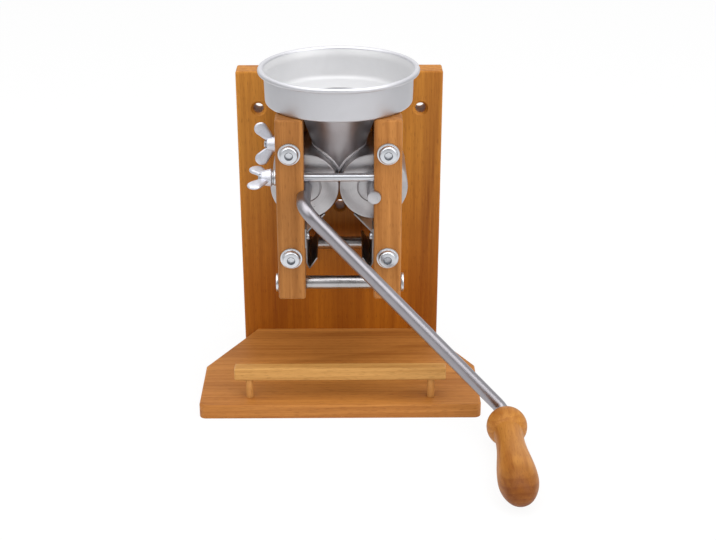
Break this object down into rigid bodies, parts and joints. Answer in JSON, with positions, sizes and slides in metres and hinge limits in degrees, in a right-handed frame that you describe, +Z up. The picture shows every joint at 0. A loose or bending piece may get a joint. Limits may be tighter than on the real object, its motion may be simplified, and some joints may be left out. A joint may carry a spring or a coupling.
{
  "type": "grain flaker",
  "caption": "Hand-cranked grain flaker: steel rollers between wooden cheeks on an upright board, lift-off metal hopper, wing-nut clamps, bowl rail and turned wooden grip.",
  "frame": {"origin": "on the table, below the middle of the back board's front face", "axes": "+X to the right between the rollers, +Y to the back, towards the wall, +Z up"},
  "size_m": [0.2413, 0.2786, 0.2517],
  "materials": {
    "board_wood": "oiled, warm brown, upright grain",
    "base_wood": "oiled, pinkish tan, grain across",
    "rail_wood": "oiled, pale yellowish",
    "cheek_wood": "oiled, light brown, upright grain",
    "grip_wood": "turned and oiled",
    "roller_steel": "satin turned",
    "rod_steel": "satin drawn",
    "zinc_steel": "bright zinc",
    "washer_steel": "satin",
    "spacer_metal": "satin",
    "insert_brass": "turned",
    "scraper_steel": "rolled sheet",
    "spun_aluminium": "satin spun"
  },
  "bodies": {
    "stand": {"back_board": "board_wood", "base_board": "base_wood", "base_screws": "zinc_steel", "bowl_rail": "rail_wood", "rail_dowels": "rail_wood", "left_front_bar": "cheek_wood", "left_rear_bar": "cheek_wood", "left_spacers": "spacer_metal", "standoff_rings": "spacer_metal", "left_frame_bolts": "zinc_steel", "left_frame_washers": "zinc_steel", "board_inserts": "insert_brass", "front_tie_rod": "rod_steel", "rear_tie_rod": "rod_steel", "left_tie_screws": "zinc_steel", "right_tie_screws": "zinc_steel", "clamp_washers": "zinc_steel", "spring_washers": "zinc_steel", "left_scraper": "scraper_steel", "left_scraper_screws": "zinc_steel"},
    "right_cheek": {"right_front_bar": "cheek_wood", "right_rear_bar": "cheek_wood", "right_spacers": "spacer_metal", "right_frame_bolts": "zinc_steel", "right_frame_washers": "zinc_steel", "bar_inserts": "insert_brass", "right_scraper": "scraper_steel", "right_scraper_screws": "zinc_steel"},
    "clamp_bolts": {"front_clamp_bolt": "zinc_steel", "rear_clamp_bolt": "zinc_steel"},
    "front_nut": {"front_wing_nut": "zinc_steel"},
    "rear_nut": {"rear_wing_nut": "zinc_steel"},
    "crank": {"crank_rod": "rod_steel", "left_roller": "roller_steel", "left_thrust_washers": "washer_steel", "grip_washer": "zinc_steel", "grip_screw": "zinc_steel"},
    "grip": {"crank_grip": "grip_wood", "grip_plug": "grip_wood"},
    "driven_roller": {"right_roller": "roller_steel", "right_shaft": "roller_steel", "right_thrust_washers": "washer_steel"},
    "hopper": {"hopper_dish": "spun_aluminium", "hopper_funnel": "spun_aluminium"}
  },
  "joints": [
    {"name": "crank_turn", "type": "hinge", "parent": "stand", "child": "crank", "pos_m": [-0.0252, -0.0555, 0.1685], "axis": [0, 1, 0], "continuous": true},
    {"name": "grip_spin", "type": "hinge", "parent": "crank", "child": "grip", "pos_m": [0.12059, -0.19, 0.015], "axis": [0, 1, 0], "continuous": true},
    {"name": "right_roller_turn", "type": "hinge", "parent": "right_cheek", "child": "driven_roller", "pos_m": [0.0252, -0.0555, 0.1685], "axis": [0, 1, 0], "continuous": true},
    {"name": "front_nut_turn", "type": "hinge", "parent": "stand", "child": "front_nut", "pos_m": [-0.0485, -0.093, 0.1799], "axis": [-1, 0, 0], "range_deg": [0, 720]},
    {"name": "rear_nut_turn", "type": "hinge", "parent": "stand", "child": "rear_nut", "pos_m": [-0.0485, -0.018, 0.1799], "axis": [-1, 0, 0], "range_deg": [0, 720]},
    {"name": "clamp_bolts_slide", "type": "slide", "parent": "stand", "child": "clamp_bolts", "axis": [1, 0, 0], "range_m": [0, 0.00201]},
    {"name": "right_cheek_tilt", "type": "hinge", "parent": "stand", "child": "right_cheek", "pos_m": [0.0252, -0.0555, 0.0968], "axis": [0, 1, 0], "range_deg": [0, 1.38]},
    {"name": "hopper_lift", "type": "slide", "parent": "stand", "child": "hopper", "axis": [0, 0, 1], "range_m": [0, 0.12]}
  ],
  "couplings": [
    {"joint": "right_roller_turn", "follows": "crank_turn", "ratio": -1},
    {"joint": "front_nut_turn", "follows": "right_cheek_tilt", "ratio": 522.23},
    {"joint": "rear_nut_turn", "follows": "right_cheek_tilt", "ratio": 522.23},
    {"joint": "clamp_bolts_slide", "follows": "right_cheek_tilt", "m_per_rad": 0.083116}
  ]
}
